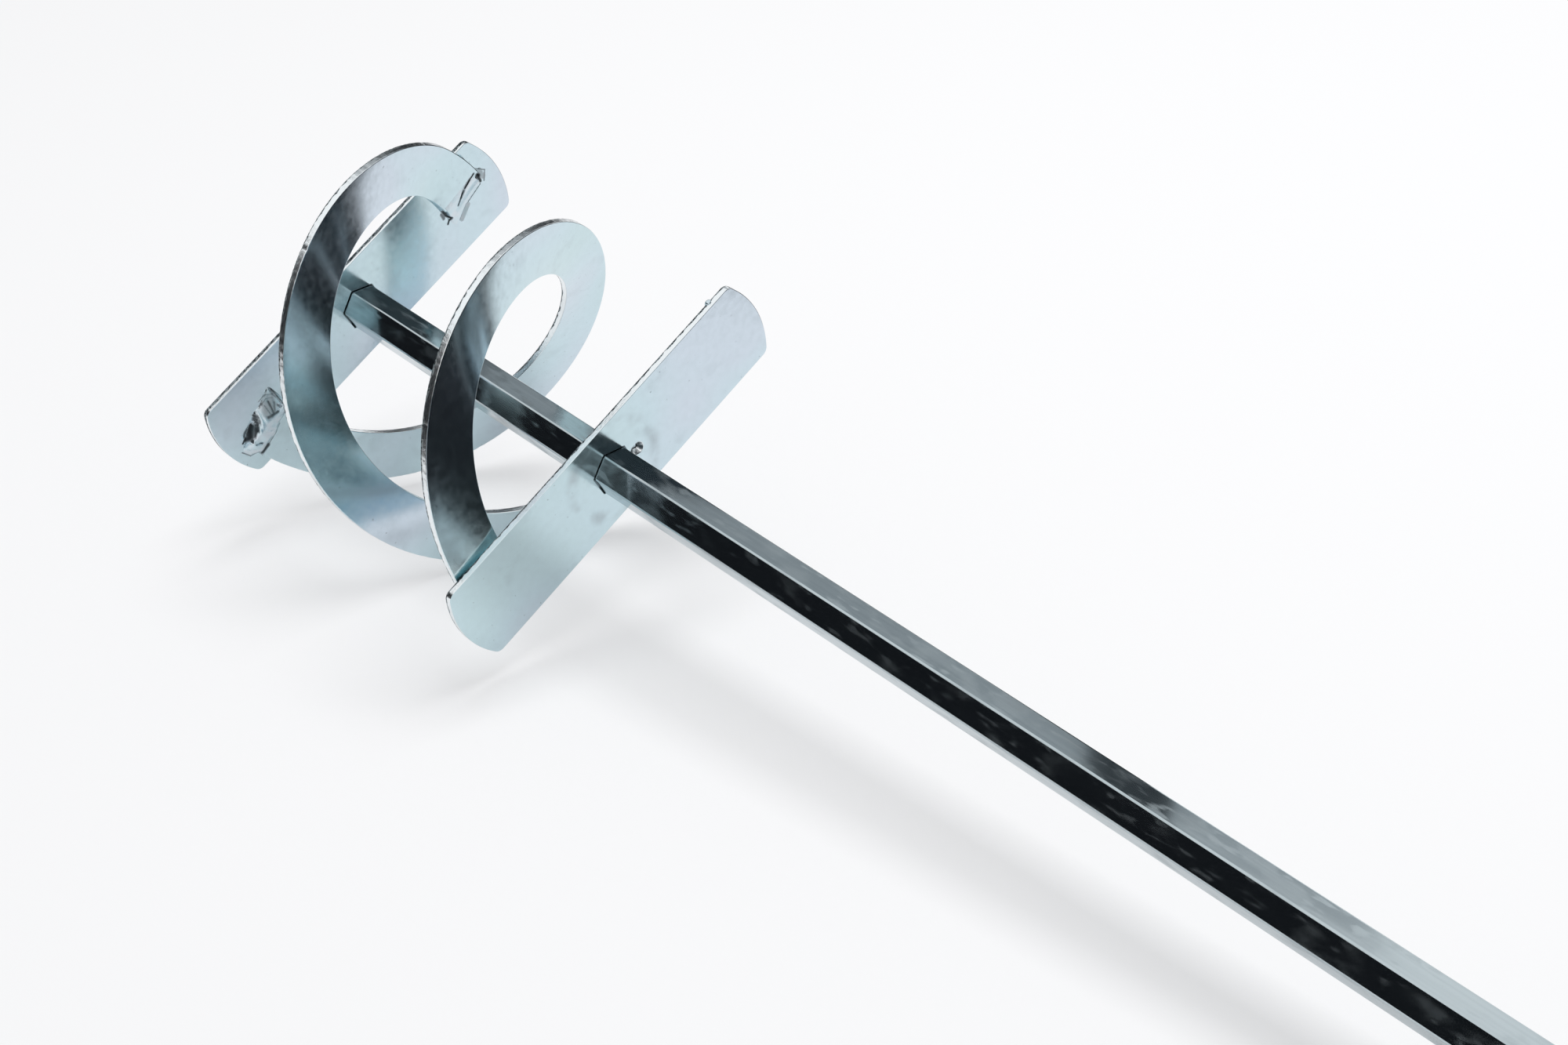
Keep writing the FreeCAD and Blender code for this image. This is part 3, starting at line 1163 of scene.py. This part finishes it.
@dataclass
class Studio:
    """White table under one wide soft box, with black and grey cards that the metal mirrors.

    Sizes are in metres and the light's power is in watts. The haze is the share of plain white in what the
    camera sees of the table: it grows to all of it between its start and its end, from the middle outwards.
    """

    floor_size: float = 14.0
    box_place: tuple[float, float, float] = (-0.1, 0.45, 1.8)
    box_size: float = 1.15
    box_power: float = 20.6
    room_light: float = 0.5
    haze: float = 0.4
    haze_start: float = 0.6
    haze_end: float = 2.6
    head: tuple[float, float] = (-0.235, 0.0)
    cards: tuple[Card, ...] = (
        Card("near_black_card", "#202326", 0.22, (2, 60), (0.0, 0.115)),
        Card("near_grey_card", "#3E4347", 0.22, (2, 60), (0.115, 0.31)),
        Card("low_black_card", "#202326", 0.22, (60, 118), (0.0, 0.09)),
        Card("far_black_card", "#202326", 0.22, (118, 168), (0.10, 0.215)),
        Card("side_black_card", "#1C1E21", 1.1, (-155, -44), (0.0, 1.1)),
        Card("back_grey_card", "#A4A9AD", 1.2, (96, 158), (0.6, 1.35)),
    )

    def start_material(self, name: str) -> tuple[bpy.types.Material, bpy.types.NodeTree]:
        """Starts a material of the studio.

        Args:
            name: Name of the material.

        Returns:
            The material and its empty node tree.
        """
        material = bpy.data.materials.new(name)
        material.use_nodes = True
        material.node_tree.nodes.clear()
        return material, material.node_tree

    def glowing_card(self, name: str, colour: str) -> bpy.types.Material:
        """Card that glows with its own colour and shows only inwards.

        Args:
            name: Name of the material.
            colour: Its sRGB hex colour.

        Returns:
            The material.
        """
        material, tree = self.start_material(name)
        inward = add_node(tree, "NewGeometry").outputs["Backfacing"]
        clear = add_node(tree, "BsdfTransparent").outputs[0]
        lit = add_node(tree, "Emission", inputs={"Color": linear(colour), "Strength": 1.0}).outputs[0]
        shader = add_node(tree, "MixShader", inputs={0: inward, 1: clear, 2: lit})
        add_node(tree, "OutputMaterial", inputs={"Surface": shader.outputs[0]})
        return material

    def white_table(self) -> bpy.types.Material:
        """Matt white table that the camera sees through a slight haze, which thickens far away.

        Returns:
            The material.
        """
        material, tree = self.start_material("matt white table")
        seen = add_node(tree, "LightPath").outputs["Is Camera Ray"]
        spot = add_node(tree, "TexCoord").outputs["Object"]
        reach = add_node(tree, "VectorMath", {"operation": "LENGTH"}, {0: spot}).outputs["Value"]
        haze = add_node(tree, "MapRange", inputs={"Value": reach, "From Min": self.haze_start,
                                                  "From Max": self.haze_end, "To Min": self.haze,
                                                  "To Max": 1.0}).outputs["Result"]
        share = add_node(tree, "Math", {"operation": "MULTIPLY"}, {0: seen, 1: haze}).outputs[0]
        matt = add_node(tree, "BsdfDiffuse", inputs={"Color": linear("#F9F9FA")}).outputs[0]
        white = add_node(tree, "Emission", inputs={"Color": linear("#FDFDFE")}).outputs[0]
        shader = add_node(tree, "MixShader", inputs={0: share, 1: matt, 2: white})
        add_node(tree, "OutputMaterial", inputs={"Surface": shader.outputs[0]})
        return material

    def stand_card(self, card: Card) -> None:
        """Cuts a card from a tube round the head and hides it from all but mirrors.

        Args:
            card: The card's sizes and colour.
        """
        low, high = card.heights
        middle = Vector((*self.head, (low + high) / 2))
        sheet = start_object("cylinder", vertices=180, radius=card.radius, depth=high - low,
                             end_fill_type="NOTHING", location=middle)
        edit(sheet, Element.FACE, lambda point, _: card.behind(point - middle),
             lambda: bpy.ops.mesh.delete(type="FACE"))
        sheet.name = card.name
        sheet.data.materials.append(self.glowing_card(card.name, card.colour))
        sheet.visible_camera = False
        sheet.visible_diffuse = False
        sheet.visible_shadow = False

    def build(self) -> None:
        """Lays the floor, hangs the light, stands the cards and sets the room's light."""
        floor = start_object("plane", size=self.floor_size)
        floor.name = "floor"
        floor.data.materials.append(self.white_table())
        bpy.ops.object.light_add(type="AREA", location=self.box_place)
        box = bpy.context.object
        box.name = "soft_box"
        box.data.shape = "RECTANGLE"
        box.data.size = box.data.size_y = self.box_size
        box.data.energy = self.box_power
        box.visible_glossy = False
        for card in self.cards:
            self.stand_card(card)
        self.world()

    def world(self) -> None:
        """White room: cameras and mirrors see it white, and it lights matt surfaces softly."""
        world = bpy.data.worlds.new("white_room")
        bpy.context.scene.world = world
        world.use_nodes = True
        tree = world.node_tree
        tree.nodes.clear()
        path = add_node(tree, "LightPath").outputs
        seen = path["Is Camera Ray"]
        for ray in ("Is Glossy Ray", "Is Transmission Ray"):
            seen = add_node(tree, "Math", {"operation": "MAXIMUM"}, {0: seen, 1: path[ray]}).outputs[0]
        strength = add_node(tree, "MapRange",
                            inputs={"Value": seen, "To Min": self.room_light, "To Max": 1.0})
        glow = add_node(tree, "Background", inputs={"Color": linear("#FBFCFD"),
                                                    "Strength": strength.outputs["Result"]})
        add_node(tree, "OutputWorld", inputs={"Surface": glow.outputs[0]})


@dataclass
class Camera:
    """Camera that looks down over the drive end at the head, placed in metres and turned in degrees."""

    location: tuple[float, float, float] = (0.24126, -0.31849, 0.35360)
    turn: tuple[float, float, float] = (58.253, 2.097, 46.422)
    lens: float = 51.33
    sensor: float = 36.0

    def build(self) -> None:
        """Places the camera and makes it the scene's own."""
        bpy.ops.object.camera_add(location=self.location,
                                  rotation=[math.radians(angle) for angle in self.turn])
        camera = bpy.context.object
        camera.data.lens = self.lens
        camera.data.sensor_width = self.sensor
        camera.data.clip_start = 0.01
        bpy.context.scene.camera = camera


def finishes(place: Matrix) -> dict[str, bpy.types.Material]:
    """Makes every material of the paddle.

    Args:
        place: Matrix that takes the head's millimetres to the frame's metres.

    Returns:
        The materials, by a short name.
    """
    return {
        "rod": DrawnHexSteel("zinc_plated_drawn_hexagon_steel", place).material(),
        "strip": PlatedStrip("zinc_plated_cold_rolled_strip", place).material(),
        "front bar": PlatedStrip("zinc_plated_cold_rolled_strip_heat_marked", place, ring=14.5).material(),
        "flight": PlatedStrip("zinc_plated_punched_ring", place).material(),
        "bar edge": ShearedEdge("zinc_plated_sheared_edge", place, thickness=2.0).material(),
        "end bar edge": ShearedEdge("zinc_plated_sheared_edge_deep_break", place, thickness=2.0,
                                    broken=(0.5, 0.75)).material(),
        "flight edge": ShearedEdge("zinc_plated_punched_edge", place, thickness=2.5).material(),
        "weld": WeldDeposit("zinc_plated_arc_weld", place).material(),
    }


def main() -> None:
    """Builds the paddle and its studio."""
    logging.basicConfig(level=logging.INFO, format="%(name)s: %(message)s")
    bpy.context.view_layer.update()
    place = resting_place(rod_end=594.0, flat_angle=240.0)
    materials = finishes(place)
    for kind in (Rod, Crossbars, Flights, FlightWelds, RodWelds):
        kind(place, materials).build()
    Studio().build()
    Camera().build()
    bpy.context.scene.view_settings.view_transform = "Standard"


if __name__ == "__main__":
    main()
